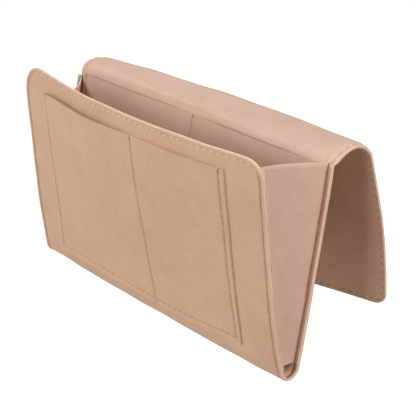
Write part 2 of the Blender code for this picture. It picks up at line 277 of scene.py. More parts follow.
FRONT_LEAN_MIDDLE = (FRONT_LEAN_LEFT + FRONT_LEAN_RIGHT) / 2
BACK_UP = np.array([0, math.sin(BACK_LEAN), math.cos(BACK_LEAN)])
BACK_IN = np.array([0, -math.cos(BACK_LEAN), math.sin(BACK_LEAN)])
BACK_FOOT = -BACK_UP * BACK_LENGTH
FOLD_CENTRE = BACK_FOOT + BACK_IN * FOLD_RADIUS
FOLD_LENGTH = FOLD_RADIUS * (math.pi - FRONT_LEAN_MIDDLE - BACK_LEAN)
BELLY_PEAK = 27 / 4


def front_bow(x):
    """How far the front's top stands out, which starts slowly from its left end."""
    ease = 1 + FRONT_BOW_EASE * np.clip(1 - share(x), 0, 1) ** FRONT_LEFT_POWER
    return FRONT_BOW * np.clip(np.sin(np.pi * share(x)), 0, 1) ** ease


def smooth(value):
    """From 0 to 1 with a level start and end."""
    value = np.clip(value, 0, 1)
    return value * value * (3 - 2 * value)


def foot_swell(x, height):
    """The front stands out most just above the bottom fold, where its pocket ends."""
    below = height / FOOT_SWELL_HEIGHT
    above = np.clip(1 - (height - FOOT_SWELL_HEIGHT) / FOOT_SWELL_REACH, 0, 1) ** 2
    return FOOT_SWELL * smooth((HALF - np.abs(x)) / FOOT_SWELL_END) * np.where(below < 1, below, above)


def front_bellies(x):
    """How far the front's lower part swells near its two ends."""
    return FRONT_BELLY_LEFT * (1 - share(x)) ** 2 + FRONT_BELLY_RIGHT * share(x) ** 2


def foot_angles(x):
    """Angles on the bottom fold's circle at which the front leaves it, without and with its foot's swell."""
    rise = front_bow(x) * np.pi / 2 + front_bellies(x) * BELLY_PEAK
    swollen = rise + foot_swell(x, PROBE) / PROBE * FRONT_LENGTH
    lean = np.pi + mixed(FRONT_LEAN_LEFT, FRONT_LEAN_RIGHT, x)
    return lean + np.arctan(rise / FRONT_LENGTH), lean + np.arctan(swollen / FRONT_LENGTH)


def front_face(x, run):
    """Outer face of the front panel, run below its top edge."""
    lean = mixed(FRONT_LEAN_LEFT, FRONT_LEAN_RIGHT, x)
    height = FRONT_LENGTH - run
    rise = height / FRONT_LENGTH
    bow = front_bow(x) * np.sin(np.pi / 2 * rise)
    bow = bow + front_bellies(x) * BELLY_PEAK * rise * (1 - rise) ** 2 + foot_swell(x, height)
    bow = bow - FRONT_LEFT_DRAW * (1 - share(x)) ** FRONT_LEFT_POWER * rise ** FRONT_DRAW_POWER
    plain, leaving = foot_angles(x)
    foot = FOLD_CENTRE + turned(leaving) * FOLD_RADIUS
    stretched = height + (leaving - plain) * FOLD_RADIUS * rise
    return foot + scaled(turned(np.pi / 2 + lean), stretched) + scaled(turned(np.pi + lean), bow)


def fold_face(x, run):
    """Outer face of the bottom fold, run past the front's foot."""
    start = foot_angles(x)[1] - 2 * np.pi
    angle = start + (-BACK_LEAN - start) * run / FOLD_LENGTH
    return FOLD_CENTRE + turned(angle) * FOLD_RADIUS


def wall_face(x, run):
    """Rear face of the back wall, run above the fold."""
    bow = mixed(ARM_SHIFT_LEFT, ARM_SHIFT_RIGHT, x) + ARM_BOW * np.sin(np.pi * share(x))
    bow = bow * np.clip(run / BACK_LENGTH, 0, None) ** ARM_BOW_POWER
    return BACK_FOOT + scaled(BACK_UP + 0 * turned(x), run) + yz(bow, 0 * bow)


def ridge_centre(x):
    """Centre of the ridge's bend."""
    skewed = np.clip(share(x), 0, 1) ** RIDGE_BOW_SKEW
    bow = RIDGE_BOW * np.clip(4 * skewed * (1 - skewed), 0, 1) ** RIDGE_BOW_FULLNESS
    sag = mixed(RIDGE_DROP_LEFT, RIDGE_DROP_RIGHT, x) + RIDGE_SAG * np.sin(np.pi * np.clip(share(x), 0, 1))
    sag = sag - RIDGE_LIFT_LEFT * np.clip(1 - share(x), 0, 1) ** RIDGE_LIFT_POWER
    sag = sag + RIDGE_SINK_RIGHT * np.clip(share(x), 0, 1) ** RIDGE_SINK_POWER
    return yz(mixed(RIDGE_SETBACK_LEFT, RIDGE_SETBACK_RIGHT + RIDGE_SHIFT_RIGHT, x) + bow, -sag)


def tangent(start, centre):
    """Slope and length of the line that runs from a point over the ridge's circle and touches it."""
    gap = centre - start
    reach = np.hypot(gap[..., 1], gap[..., 2])
    slope = np.arctan2(gap[..., 2], gap[..., 1]) + np.arcsin(np.clip(RIDGE_RADIUS / reach, 0, 1))
    return slope, np.sqrt(np.clip(reach ** 2 - RIDGE_RADIUS ** 2, 0, None))


def flap_lean(x):
    ends = mixed(FLAP_LEAN_LEFT, FLAP_LEAN_RIGHT, x)
    return ends + 2 * (2 * FLAP_LEAN_MIDDLE - FLAP_LEAN_LEFT - FLAP_LEAN_RIGHT) * share(x) * (1 - share(x))


def flap_length(x):
    return mixed(FLAP_LENGTH_LEFT, FLAP_LENGTH_RIGHT + FLAP_STRETCH, x)


def crown(x):
    """The bend over the arm and the ridge, as circles joined by a flat, with the lengths of each."""
    top = BACK_LENGTH + BEND_RISE_LEFT * np.clip(1 - share(x), 0, 1) ** BEND_RISE_POWER
    corner = wall_face(x, top)
    up = unit(corner - wall_face(x, top - SHORT_STEP))
    wall_angle = np.arctan2(up[..., 2], up[..., 1])
    centre = ridge_centre(x)
    slope, reach = tangent(corner, centre)
    round_share = np.clip(1 - share(x), 0, 1) ** BEND_RADIUS_POWER
    radius = BEND_RADIUS_RIGHT + (BEND_RADIUS_LEFT - BEND_RADIUS_RIGHT) * round_share
    cut = radius * np.tan((wall_angle - slope) / 2)
    bend = corner - scaled(up, cut) + scaled(turned(wall_angle - np.pi / 2), radius)
    leave = flap_lean(x) + np.arctan(np.pi * FLAP_BELLY / flap_length(x))
    return {"wall": top - cut, "bend": bend, "radius": radius, "start": wall_angle + np.pi / 2,
            "slope": slope, "arc": radius * (wall_angle - slope), "flat": reach - cut, "centre": centre,
            "ridge": RIDGE_RADIUS * (np.pi / 2 + slope - leave)}


def crown_face(x, run):
    """Underside of the strip, run past the start of the bend: the bend, the flat and the ridge.

    Its right end arches up between the wall and the ridge.
    """
    c = crown(x)
    angle = c["start"] - np.clip(run, 0, c["arc"]) / c["radius"]
    flat = np.clip(run - c["arc"], 0, c["flat"])
    ridge = np.clip(run - c["arc"] - c["flat"], 0, None)
    before = c["bend"] + scaled(turned(angle), c["radius"]) + scaled(turned(c["slope"]), flat)
    after = c["centre"] + turned(np.pi / 2 + c["slope"] - ridge / RIDGE_RADIUS) * RIDGE_RADIUS
    point = np.where((ridge > 0)[..., None], after, before)
    arch = ARCH_RIGHT * np.clip(share(x), 0, 1) ** ARCH_POWER
    point[..., 2] += arch * np.sin(np.pi * np.clip(point[..., 1] / ARCH_SPAN, 0, 1))
    return point


def flap_face(x, run):
    """Inner face of the flap, run below the ridge."""
    lean = flap_lean(x)
    belly = FLAP_BELLY * np.sin(np.pi * run / flap_length(x))
    return scaled(turned(lean - np.pi / 2), run) + scaled(turned(lean), belly)


def ridge_start(x):
    c = crown(x)
    return FRONT_LENGTH + FOLD_LENGTH + c["wall"] + c["arc"] + c["flat"]


def flap_start(x):
    return ridge_start(x) + crown(x)["ridge"]


def strip_end(x):
    return flap_start(x) + flap_length(x)


def hinge_place(x):
    """How far along the strip the flap's hinge line crosses it, going by the line's place in plan."""
    ends = []
    for end, length in ((-HALF, BRIDGE_LENGTH_LEFT), (HALF, BRIDGE_LENGTH_RIGHT)):
        slope = tangent(np.zeros(3), ridge_centre(np.array(end)))[0]
        ends.append(length * math.cos(slope))
    place = mixed(ends[0], ends[1], x)
    c = crown(x)
    angle = np.arccos(np.clip((place - c["bend"][..., 1]) / c["radius"], -1, 1))
    on_bend = (c["start"] - np.maximum(angle, c["slope"] + np.pi / 2)) * c["radius"]
    past = place - c["bend"][..., 1] - c["radius"] * np.cos(c["slope"] + np.pi / 2)
    on_flat = np.clip(past / np.cos(c["slope"]), 0, c["flat"])
    return FRONT_LENGTH + FOLD_LENGTH + c["wall"] + on_bend + on_flat, ends


def strip_face(x, place):
    """The shell's own face anywhere on the strip, place metres from the front panel's top edge."""
    c = crown(x)
    stretches = ((front_face, FRONT_LENGTH), (fold_face, FOLD_LENGTH), (wall_face, c["wall"]),
                 (crown_face, c["arc"] + c["flat"] + c["ridge"]), (flap_face, flap_length(x)))
    point = front_face(x, 0 * place)
    begin = 0
    for face, length in stretches:
        run = np.clip(place - begin, 0, length)
        point = point + face(x, run) - face(x, 0 * place)
        begin = begin + length
    from_fold = np.abs(place - FRONT_LENGTH - FOLD_LENGTH / 2)
    point[..., 0] = x
    point[..., 1] += FOOT_SHIFT_RIGHT * share(x) ** 2 * np.clip(1 - from_fold / FRONT_LENGTH, 0, 1)
    sagging = np.sin(np.pi * np.clip(share(x), 0, 1)) * np.clip(1 - from_fold / BOTTOM_SAG_REACH, 0, 1) ** 2
    point[..., 2] -= BOTTOM_SAG * sagging
    return point


def wave(points):
    """Slight unevenness of felt that has been folded and handled."""
    total = 0
    for height_share, first, second in WAVES:
        pair = [np.sin(points @ np.array(rates) + start) for rates, start in (first, second)]
        total = total + height_share * pair[0] * pair[1]
    return WAVE_HEIGHT * total


def strip_frame(x, place):
    """Points on the shell's face, uneven as felt is, and the way from there to the lining."""
    x, place = np.broadcast_arrays(np.asarray(x, float), np.asarray(place, float))
    along = unit(strip_face(x, place + PROBE) - strip_face(x, place - PROBE))
    way = yz(-along[..., 2], along[..., 1])
    points = strip_face(x, place)
    return points + scaled(way, wave(points)), way


def corner_loss(x, radius):
    """How much a rounded corner shortens the strip at x."""
    inset = np.clip(HALF - np.abs(x), 0, radius)
    return radius - np.sqrt(np.clip(radius ** 2 - (radius - inset) ** 2, 0, None))


def outline_distance(side, end, radius):
    """Distance from the outline of a sheet with rounded corners, from the distances to two of its edges."""
    a, b = np.clip(radius - side, 0, None), np.clip(radius - end, 0, None)
    return np.where((a > 0) & (b > 0), radius - np.hypot(a, b), np.minimum(side, end))


def round_the_end(x, end, radii):
    """Distance along the seam round a rounded end, and 1 on its sides, 0 on the end itself."""
    radius = np.where(x < 0, *radii)
    bend = radius - STITCH_INSET
    side = HALF - np.abs(x)
    angle = np.arctan2(np.clip(radius - end, 0, None), np.clip(radius - side, 0, None))
    left = bend * angle + np.clip(side - radius, 0, None) - np.clip(end - radius, 0, None)
    whole = (sum(radii) - 2 * STITCH_INSET) * np.pi / 2 + WIDTH - sum(radii)
    return np.where(x < 0, left, whole - left), 1 - angle / (np.pi / 2)


def stations(low, high, steps, fine_low=True, fine_high=True, seams=()):
    """Places between two edges, closer together at the felt's edges and at seams."""
    places = list(np.linspace(low, high, steps))
    if fine_low:
        places.extend(low + EDGE_OFFSETS)
    if fine_high:
        places.extend(high - EDGE_OFFSETS)
    for seam in seams:
        places.extend(seam + SEAM_OFFSETS)
    ordered = sorted(p for p in places if low <= p <= high)
    kept = [ordered[0]]
    for p in ordered[1:]:
        if p - kept[-1] > LEAST_STEP:
            kept.append(p)
    kept[-1] = high
    return np.array(kept)


# Meshes
def groove(gap, depth=GROOVE_DEPTH):
    """Furrow that a seam pulls into the felt."""
    return depth * np.exp(-(gap / GROOVE_WIDTH) ** 2)


def seam_depth(sunk):
    """A furrow is shallower where the stitches stand proud."""
    return GROOVE_DEPTH * (GROOVE_LIGHT_SHARE + (1 - GROOVE_LIGHT_SHARE) * sunk)


def pressed(edge):
    """How much thinner a layer of felt is in the margin outside its seam."""
    return MARGIN_PRESS * (1 - smooth((edge - STITCH_INSET) / STITCH_INSET))


def puff(edge, inset=STITCH_INSET):
    """Swelling of the felt between its edge and the seam."""
    return MARGIN_PUFF * np.sin(np.pi * np.clip(edge / inset, 0, 1)) ** 2


def rounding(edge):
    inner = np.clip(1 - edge / EDGE_ROUND, 0, 1)
    return EDGE_ROUND * (1 - np.sqrt(np.clip(1 - inner ** 2, 0, None)))


def placed(name, data):
    """A new object in the scene."""
    thing = bpy.data.objects.new(name, data)
    bpy.context.scene.collection.objects.link(thing)
    return thing


def finished(name, mesh, material):
    """Object of a closed mesh, with its faces turned out and its shading smooth."""
    piece = placed(name, mesh)
    mesh.materials.append(material)
    places = np.empty(len(mesh.vertices) * 3)
    mesh.vertices.foreach_get("co", places)
    mesh.calc_loop_triangles()
    corners = np.empty(len(mesh.loop_triangles) * 3, dtype=np.int32)
    mesh.loop_triangles.foreach_get("vertices", corners)
    p = places.reshape(-1, 3)[corners.reshape(-1, 3)]
    if np.einsum("ij,ij->i", p[:, 0], np.cross(p[:, 1], p[:, 2])).sum() < 0:
        mesh.flip_normals()
    mesh.shade_smooth()
    mesh.set_sharp_from_angle(angle=SHARP_ANGLE)
    return piece


def solid_sheet(name, points, ways, low, high, marks, material):
    """A closed sheet between two offsets of a grid of points; marks are values that its material reads."""
    lower, upper = points + scaled(ways, low), points + scaled(ways, high)
    n, m = points.shape[:2]
    count = n * m
    index = np.arange(count).reshape(n, m)
    a, b = index[:-1, :-1].ravel(), index[1:, :-1].ravel()
    c, d = index[1:, 1:].ravel(), index[:-1, 1:].ravel()
    rim = np.concatenate([index[:-1, 0], index[-1, :-1], index[:0:-1, -1], index[0, :0:-1]])
    after = np.roll(rim, -1)
    faces = np.concatenate([np.stack([a, b, c, d], axis=1), np.stack([d, c, b, a], axis=1) + count,
                            np.stack([after, rim, rim + count, after + count], axis=1)])
    mesh = bpy.data.meshes.new(name)
    mesh.vertices.add(2 * count)
    mesh.vertices.foreach_set("co", np.concatenate([lower.reshape(-1, 3), upper.reshape(-1, 3)]).ravel())
    mesh.loops.add(faces.size)
    mesh.loops.foreach_set("vertex_index", faces.ravel())
    mesh.polygons.add(len(faces))
    mesh.polygons.foreach_set("loop_start", np.arange(0, faces.size, 4))
    mesh.update(calc_edges=True)
    mesh.validate()
    for label, values in marks.items():
        spread = np.broadcast_to(values, (n, m)).ravel()
        layer = mesh.attributes.new(label, "FLOAT", "POINT")
        layer.data.foreach_set("value", np.concatenate([spread, spread]).astype(np.float32))
    return finished(name, mesh, material)


def marks_of(edge, seam_gap, seam_run, sunk):
    """Values for the felt's material, the seam's counted in stitches.

    The edge mark is 1 on a cut edge, where a highlight is painted, and below 0 on a pocket's mouth, where
    shade is painted.
    sunk is 1 where stitches lie deep in the felt with painted shade, 0 where they stand proud.
    """
    return {"edge_highlight_mouth_shade": np.clip(1 - edge / PAINTED_EDGE_WIDTH, 0, 1), "seam_gap": seam_gap / STITCH_PITCH,
            "seam_run": seam_run / STITCH_PITCH, "seam_sunk": sunk}


def stitched(name, path, ways, run, material, sunk=0.0):
    """Stitches along a path, one at each whole multiple of the pitch in run, dipping in at both ends."""
    if run[-1] < run[0]:
        path, ways, run = path[::-1], ways[::-1], run[::-1]
    rings, sides = STITCH_RINGS, STITCH_SIDES
    swell = np.sin(np.pi * np.linspace(0, 1, rings))
    around = 2 * np.pi * np.arange(sides) / sides
    verts, faces = [], []
    first = math.ceil((run[0] + STITCH_LENGTH / 2) / STITCH_PITCH)
    last = math.floor((run[-1] - STITCH_LENGTH / 2) / STITCH_PITCH)
    for k in range(first, last + 1):
        places = k * STITCH_PITCH + STITCH_LENGTH * np.linspace(-0.5, 0.5, rings)
        at = np.stack([np.interp(places, run, path[:, i]) for i in range(3)], axis=1)
        up = unit(np.stack([np.interp(places, run, ways[:, i]) for i in range(3)], axis=1))
        side = unit(np.cross(unit(np.gradient(at, axis=0)), up))
        at = at + scaled(up, THREAD_RADIUS * (STITCH_ARCH * swell - STITCH_SINK - sunk))
        size = THREAD_RADIUS * (STITCH_END_SHARE + (1 - STITCH_END_SHARE) * np.sqrt(swell))
        ring = scaled(side, size)[:, None] * np.cos(around)[None, :, None]
        ring = ring + scaled(up, size)[:, None] * np.sin(around)[None, :, None]
        base = len(verts)
        verts.extend((at[:, None] + ring).reshape(-1, 3))
        last_ring = base + (rings - 1) * sides
        for low in range(base, last_ring, sides):
            for j in range(sides):
                q = (j + 1) % sides
                faces.append((low + j, low + q, low + sides + q, low + sides + j))
        faces.append(tuple(reversed(range(base, base + sides))))
        faces.append(tuple(range(last_ring, last_ring + sides)))
    mesh = bpy.data.meshes.new(name)
    mesh.from_pydata([tuple(v) for v in verts], [], faces)
    return finished(name, mesh, material)


# Materials
def srgb(*channels):
    """Linear colour of an sRGB colour whose channels go up to 255."""
    parts = [c / 255 for c in channels]
    return tuple(c / 12.92 if c <= 0.04045 else ((c + 0.055) / 1.055) ** 2.4 for c in parts)


NOISE_LOW = 0.3
NOISE_HIGH = 0.7
NOISE_ROUGHNESS = 0.6
# Highlight painted on cut edges and shade painted in pocket mouths, as shares of the colour ramp
PAINTED_EDGE_HIGHLIGHT = 0.35
PAINTED_MOUTH_DARK = 0.9
FIBRE_HEIGHT_SHARE = 0.6
GRAIN_HEIGHT_SHARE = 0.5
FELT_BUMP = 0.3
THREAD_BUMP = 0.4
BUMP_DISTANCE = 0.3 * MM
SURFACE = {"Roughness": 0.95, "Specular IOR Level": 0.15, "Sheen Weight": 0.1, "Sheen Roughness": 0.6}

# Scale, detail and twist of the felt's fibres, grain and blotches and of the thread, and the felt's tints
FELT_NOISES = ((420, 3, 1.6), (1300, 3, 0), (60, 3, 0), (11, 2, 0))
FELT_TINTS = (0.07, 0.06, 0.05, 0.05)
THREAD_NOISE = (900, 2, 0, (0.3, 1, 1))

# Where a seam is darkened with painted shade, in stitches away from it and along it, and how dark
FURROW_GAPS = (0.02, 0.2)
DASH_GAPS = (0.05, 0.14)
HOLE_GAPS = (0.04, 0.11)
DASH_BEATS = (0.33, 0.42)
HOLE_BEATS = (0.39, 0.46)
FURROW_SHADES = (0.05, 0.38)
DASH_SHADE = 0.4
HOLE_SHADE = 0.22


def socket(node, name, value):
    node.inputs[name].default_value = value


class Shader:
    """A felt or thread material under construction, with short ways to add its nodes."""

    def __init__(self, name):
        self.material = bpy.data.materials.new(name)
        self.material.use_nodes = True
        self.nodes, self.links = self.material.node_tree.nodes, self.material.node_tree.links
        self.surface = self.nodes["Principled BSDF"]
        self.place = self.nodes.new("ShaderNodeTexCoord").outputs["Object"]

    def noise(self, scale, detail, twist, stretch=(1, 1, 1)):
        mapping = self.nodes.new("ShaderNodeMapping")
        socket(mapping, "Scale", stretch)
        texture = self.nodes.new("ShaderNodeTexNoise")
        socket(texture, "Scale", scale)
        socket(texture, "Detail", detail)
        socket(texture, "Roughness", NOISE_ROUGHNESS)
        socket(texture, "Distortion", twist)
        self.links.new(self.place, mapping.inputs["Vector"])
        self.links.new(mapping.outputs["Vector"], texture.inputs["Vector"])
        return texture.outputs["Fac"]

    def maths(self, kind, *values):
        node = self.nodes.new("ShaderNodeMath")
        node.operation = kind
        for slot, value in enumerate(values):
            if isinstance(value, (int, float)):
                node.inputs[slot].default_value = value
            else:
                self.links.new(value, node.inputs[slot])
        return node.outputs[0]

    def ranged(self, value, low, high, to_low, to_high, soft=False):
        node = self.nodes.new("ShaderNodeMapRange")
        if soft:
            node.interpolation_type = "SMOOTHSTEP"
        socket(node, "From Min", low)
        socket(node, "From Max", high)
        socket(node, "To Min", to_low)
        socket(node, "To Max", to_high)
        self.links.new(value, node.inputs["Value"])
        return node.outputs["Result"]

    def near(self, value, limits):
        """1 up to the first limit, 0 from the second one, soft between them."""
        return self.ranged(value, *limits, 1, 0, soft=True)

    def attribute(self, label):
        node = self.nodes.new("ShaderNodeAttribute")
        node.attribute_name = label
        return node.outputs["Fac"]

    def finish(self, value, height, dark, light, bump_strength):
        ramp = self.nodes.new("ShaderNodeValToRGB")
        ramp.color_ramp.elements[0].color = (*dark, 1)
        ramp.color_ramp.elements[1].color = (*light, 1)
        self.links.new(value, ramp.inputs["Fac"])
        self.links.new(ramp.outputs["Color"], self.surface.inputs["Base Color"])
        bump = self.nodes.new("ShaderNodeBump")
        socket(bump, "Strength", bump_strength)
        socket(bump, "Distance", BUMP_DISTANCE)
        self.links.new(height, bump.inputs["Height"])
        self.links.new(bump.outputs["Normal"], self.surface.inputs["Normal"])
        for label, number in SURFACE.items():
            socket(self.surface, label, number)
        return self.material


def felt_material(name, light, dark):
    """Felt: matted fibres and faint blotches, a painted highlight on cut edges, painted shade at pocket
    mouths, and furrows whose stitches and needle holes are darkened with painted shade.
    """
    s = Shader(name)
    edge, gap, sunk = s.attribute("edge_highlight_mouth_shade"), s.attribute("seam_gap"), s.attribute("seam_sunk")
    noises = [s.noise(*values) for values in FELT_NOISES]
    value = 0.5
    for noise, tint in zip(noises, FELT_TINTS):
        value = s.maths("ADD", value, s.ranged(noise, NOISE_LOW, NOISE_HIGH, -tint, tint))
    # Painted highlight on cut edges, then painted shade in pocket mouths
    value = s.maths("ADD", value, s.ranged(edge, 0, 1, 0, PAINTED_EDGE_HIGHLIGHT))
    value = s.maths("ADD", value, s.ranged(edge, -1, 0, -PAINTED_MOUTH_DARK, 0))
    # Painted shade in seam furrows, on sunk stitches and in needle holes
    beat = s.maths("FRACT", s.maths("ADD", s.attribute("seam_run"), 0.5))
    beat = s.maths("ABSOLUTE", s.maths("SUBTRACT", beat, 0.5))
    dash = s.maths("MULTIPLY", s.near(beat, DASH_BEATS), s.near(gap, DASH_GAPS))
    hole = s.maths("MULTIPLY", s.ranged(beat, *HOLE_BEATS, 0, 1, soft=True), s.near(gap, HOLE_GAPS))
    light_hole = s.maths("MULTIPLY", hole, s.maths("SUBTRACT", 1, sunk))
    shades = [s.maths("MULTIPLY", s.near(gap, FURROW_GAPS), s.ranged(sunk, 0, 1, *FURROW_SHADES)),
              s.maths("MULTIPLY", s.maths("MULTIPLY", dash, sunk), DASH_SHADE),
              s.maths("MULTIPLY", light_hole, HOLE_SHADE)]
    for shade in shades:
        value = s.maths("SUBTRACT", value, shade)
    height = s.maths("ADD", s.maths("MULTIPLY", noises[0], FIBRE_HEIGHT_SHARE),
                     s.maths("MULTIPLY", noises[1], GRAIN_HEIGHT_SHARE))
    return s.finish(value, s.maths("SUBTRACT", height, hole), dark, light, FELT_BUMP)


def thread_material(name, light, dark):
    """Twisted sewing thread."""
    s = Shader(name)
    fibre = s.noise(*THREAD_NOISE)
    value = s.ranged(fibre, NOISE_LOW, NOISE_HIGH, NOISE_LOW, NOISE_HIGH)
    return s.finish(value, fibre, dark, light, THREAD_BUMP)


SHELL = felt_material("felt_shell", srgb(236, 197, 166), srgb(172, 132, 104))
LINING = felt_material("felt_lining", srgb(238, 204, 184), srgb(174, 139, 118))
# The inner pocket's felt is the lining's colour darkened to paint the shade inside the pouch
INNER = felt_material("felt_inner_pocket_painted_shade", srgb(228, 195, 174), srgb(166, 132, 112))
GUSSET = felt_material("felt_gusset", srgb(232, 194, 172), srgb(168, 128, 108))
THREAD = thread_material("sewing_thread", srgb(246, 214, 188), srgb(214, 178, 148))
# Darker copies of the thread colour, which paint the shade on stitches that lie in the felt
THREAD_PAINTED_HALF_SHADE = thread_material("sewing_thread_painted_half_shade", srgb(226, 190, 161), srgb(192, 155, 127))
THREAD_PAINTED_SHADE = thread_material("sewing_thread_painted_shade", srgb(186, 148, 120), srgb(150, 112, 88))


def bent_front(piece):
    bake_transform(piece)


def bent_arm(piece):
    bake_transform(piece)


def bent_ridge(piece):
    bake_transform(piece)


def riding(body):
    return lambda piece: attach(piece, body)


def declare(piece, nodes, motion):
    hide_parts(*nodes)
    motion(piece)


def thread_piece(name, path, ways, run, motion, sunk=0.0):
    # Stitches that lie deeper take a thread colour with more painted shade
    material = THREAD_PAINTED_HALF_SHADE if sunk > POCKET_THREAD_FROM else THREAD
    if sunk > PAINTED_SHADE_THREAD_FROM:
        material = THREAD_PAINTED_SHADE
    piece = stitched(name, path, ways, run, material, sunk)
    motion(piece)


# The strip, in three stretches that each bend over one fold
X_ROWS = stations(-HALF, HALF, ACROSS_STEPS)[:, None]
WALL_FOOT = FRONT_LENGTH + FOLD_LENGTH
FIRST_SPLIT = WALL_FOOT + WALL_SPLIT
EVERY_X = 0 * X_ROWS
FRONT_RADII = (FRONT_CORNER_LEFT, FRONT_CORNER_RADIUS)
FLAP_RADII = (FLAP_CORNER_RADIUS, FLAP_CORNER_RADIUS)


def evenly(borders, counts):
    """Rows from border to border for each x, without the first."""
    stretches = zip(borders, borders[1:], counts)
    return [low + (high - low) * np.linspace(0, 1, steps)[None, 1:] for low, high, steps in stretches]


def front_corner(x):
    """Radius of the front panel's top corner on the side of x."""
    return np.where(x < 0, *FRONT_RADII)


def front_places():
    top = corner_loss(X_ROWS, front_corner(X_ROWS))
    borders = (top + EDGE_OFFSETS[-1], EVERY_X + FRONT_LENGTH, EVERY_X + WALL_FOOT, EVERY_X + FIRST_SPLIT)
    return np.concatenate([top + EDGE_OFFSETS[None, :], *evenly(borders, FRONT_ROWS)], axis=1)


def wall_places():
    borders = (EVERY_X + FIRST_SPLIT, WALL_FOOT + crown(X_ROWS)["wall"], hinge_place(X_ROWS)[0])
    return np.concatenate([borders[0], *evenly(borders, WALL_ROWS)], axis=1)


def flap_places():
    foot = strip_end(X_ROWS) - corner_loss(X_ROWS, FLAP_CORNER_RADIUS)
    borders = (hinge_place(X_ROWS)[0], ridge_start(X_ROWS), flap_start(X_ROWS), foot - EDGE_OFFSETS[-1])
    last = foot - EDGE_OFFSETS[None, -2::-1]
    return np.concatenate([borders[0], *evenly(borders, FLAP_ROWS), last], axis=1)


def two_layers(label, place, end, radii, nodes, motion, sunk_end, sunk_side):
    """Shell and lining on one stretch of the strip; end is the distance to its rounded end.

    sunk_end and sunk_side are how deep the stitches lie along the end and along the sides, which also sets
    how much shade is painted on them.
    """
    x = X_ROWS + 0 * place
    points, ways = strip_frame(x, place)
    edge = outline_distance(HALF - np.abs(x), end, np.where(x < 0, *radii))
    gap = np.abs(edge - STITCH_INSET)
    run, on_side = round_the_end(x, end, radii)
    sunk = sunk_end + (sunk_side - sunk_end) * on_side
    marks = marks_of(edge, gap, run, sunk)
    furrow = groove(gap, seam_depth(sunk)) - puff(edge)
    soft = rounding(edge)
    between = FELT - pressed(edge)
    shell = solid_sheet(label + "_shell", points, ways, furrow + soft,
                        between - LAYER_GAP / 2 - soft, marks, SHELL)
    lining = solid_sheet(label + "_lining", points, ways, between + LAYER_GAP / 2 + soft,
                         LAYERS - 2 * pressed(edge) - furrow - soft, marks, LINING)
    for piece, layer in ((shell, "_shell"), (lining, "_lining")):
        declare(piece, [node + layer for node in nodes], motion)


def build_strip():
    front, wall, flap = front_places(), wall_places(), flap_places()
    two_layers("front_and_fold", front, front, FRONT_RADII, ("front_panel", "bottom_fold"),
               bent_front, 0, 1)
    two_layers("back_wall_and_bend", wall, wall, FRONT_RADII, ("back_wall", "bridge"),
               bent_arm, 0, SOFT_SIDE_SUNK)
    two_layers("flap_and_ridge", flap, strip_end(X_ROWS) - flap, FLAP_RADII, ("flap",),
               bent_ridge, SOFT_END_SUNK, SOFT_SIDE_SUNK)


def rounded_path(radii, reach_left, reach_right, steps):
    """Seam up the left side, round the two corners and down the right: x, distance from the end, and run."""
    bend_left, bend_right = radii[0] - STITCH_INSET, radii[1] - STITCH_INSET
    left, right = -HALF + radii[0], HALF - radii[1]
    arc = np.linspace(0, np.pi / 2, CORNER_STEPS)[1:]
    up, down = np.linspace(reach_left, radii[0], steps), np.linspace(radii[1], reach_right, steps)[1:]
    level = np.linspace(left, right, 2 * steps)[1:]
    x = np.concatenate([0 * up + left - bend_left, left - bend_left * np.cos(arc), level,
                        right + bend_right * np.sin(arc), 0 * down + right + bend_right])
    end = np.concatenate([up, radii[0] - bend_left * np.sin(arc), 0 * level + STITCH_INSET,
                          radii[1] - bend_right * np.cos(arc), down])
    to_level = bend_left * np.pi / 2
    to_right = to_level + right - left
    run = np.concatenate([radii[0] - up, bend_left * arc, to_level + level - left,
                          to_right + bend_right * arc, to_right + bend_right * np.pi / 2 + down - radii[1]])
    return x, end, run


def strip_thread(name, x, place, run, side, motion, sunk):
    """Stitches on the strip's shell, side -1, or on its lining, side 1."""
    points, ways = strip_frame(x, place)
    depth = seam_depth(sunk) if side < 0 else LAYERS - 2 * MARGIN_PRESS - seam_depth(sunk)
    thread_piece(name, points + ways * depth, ways * side, run, motion, sunk)


def build_front_seams():
    x, place, run = rounded_path(FRONT_RADII, FIRST_SPLIT, FIRST_SPLIT, SIDE_STEPS)
    on_end = place < front_corner(x) + SEAM_OVERLAP
    strip_thread("thread_front_top_outside", x[on_end], place[on_end], run[on_end], -1, bent_front, 0)
    for label, part in (("left", ~on_end & (x < 0)), ("right", ~on_end & (x > 0))):
        name = "thread_front_" + label + "_outside"
        strip_thread(name, x[part], place[part], run[part], -1, bent_front, SIDE_SUNK)
    above = place < GUSSET_FRONT_DROP_RIGHT + SEAM_OVERLAP
    strip_thread("thread_front_inside", x[above], place[above], run[above], 1, bent_front, 0)


def build_wall_seams():
    for side, label, drop in ((-1, "left", GUSSET_BACK_DROP_LEFT), (1, "right", GUSSET_BACK_DROP_RIGHT)):
        edge = np.array([side * (HALF - STITCH_INSET)])
        high = float(hinge_place(edge)[0][0])
        low_inside = WALL_FOOT + BACK_LENGTH - drop
        for face, low, sunk in ((-1, FIRST_SPLIT, SIDE_SUNK), (1, low_inside, 0)):
            place = np.linspace(low, high, LONG_SIDE_STEPS)
            run = round_the_end(edge, place, FRONT_RADII)[0]
            name = "thread_wall_" + label + ("_outside" if face < 0 else "_inside")
            strip_thread(name, edge + 0 * place, place, run, face, bent_arm, sunk)


def build_flap_seams():
    ends = [np.array([side * (HALF - STITCH_INSET)]) for side in (-1, 1)]
    reach = [float((strip_end(x) - hinge_place(x)[0])[0]) for x in ends]
    x, end, run = rounded_path(FLAP_RADII, reach[0], reach[1], LONG_SIDE_STEPS)
    for face, label in ((-1, "under"), (1, "over")):
        strip_thread("thread_flap_" + label, x, strip_end(x) - end, run, face, bent_ridge, 0)


